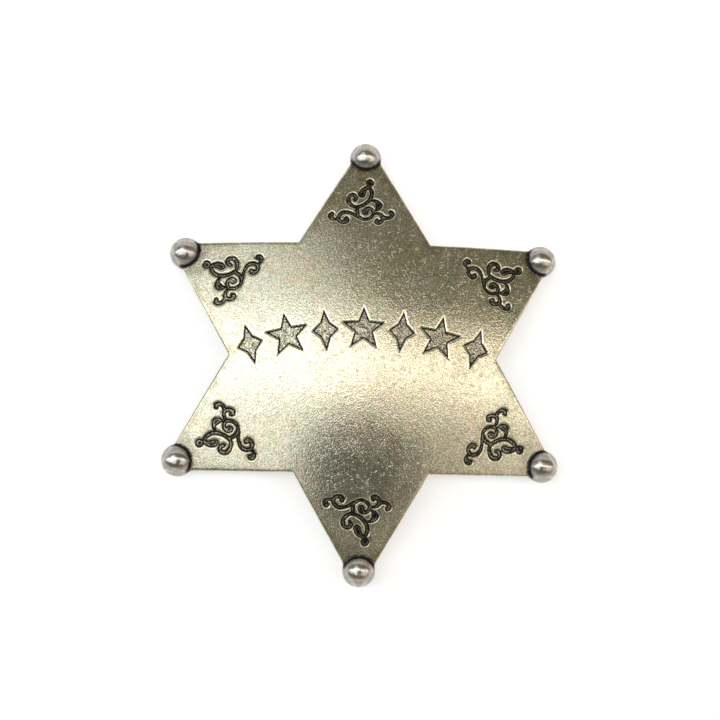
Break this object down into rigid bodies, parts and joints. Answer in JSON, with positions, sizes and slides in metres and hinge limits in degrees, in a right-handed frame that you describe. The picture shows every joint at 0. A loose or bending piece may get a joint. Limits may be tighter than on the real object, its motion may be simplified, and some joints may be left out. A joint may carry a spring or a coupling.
{
  "type": "sheriff star badge",
  "caption": "Domed six-pointed star badge with a ball on each tip, sunk scrolls in the arms, an arched row of sunk devices and a brooch pin on the back.",
  "frame": {"origin": "on the surface that the badge rests on, under the centre of the star, with the badge lying face up on its six ball tips", "axes": "+Z out of the face, +Y towards the top arm, +X to the right as the face is seen"},
  "size_m": [0.061, 0.0696, 0.0072],
  "materials": {
    "antiqued_plate": "cast white metal with an antiqued yellowish nickel finish, dark patina in the sunk work and satin on the raised face",
    "pin_metal": "plain drawn and pressed steel, lightly dulled"
  },
  "bodies": {
    "root": {"star": "antiqued_plate", "pin": "pin_metal"}
  },
  "joints": []
}
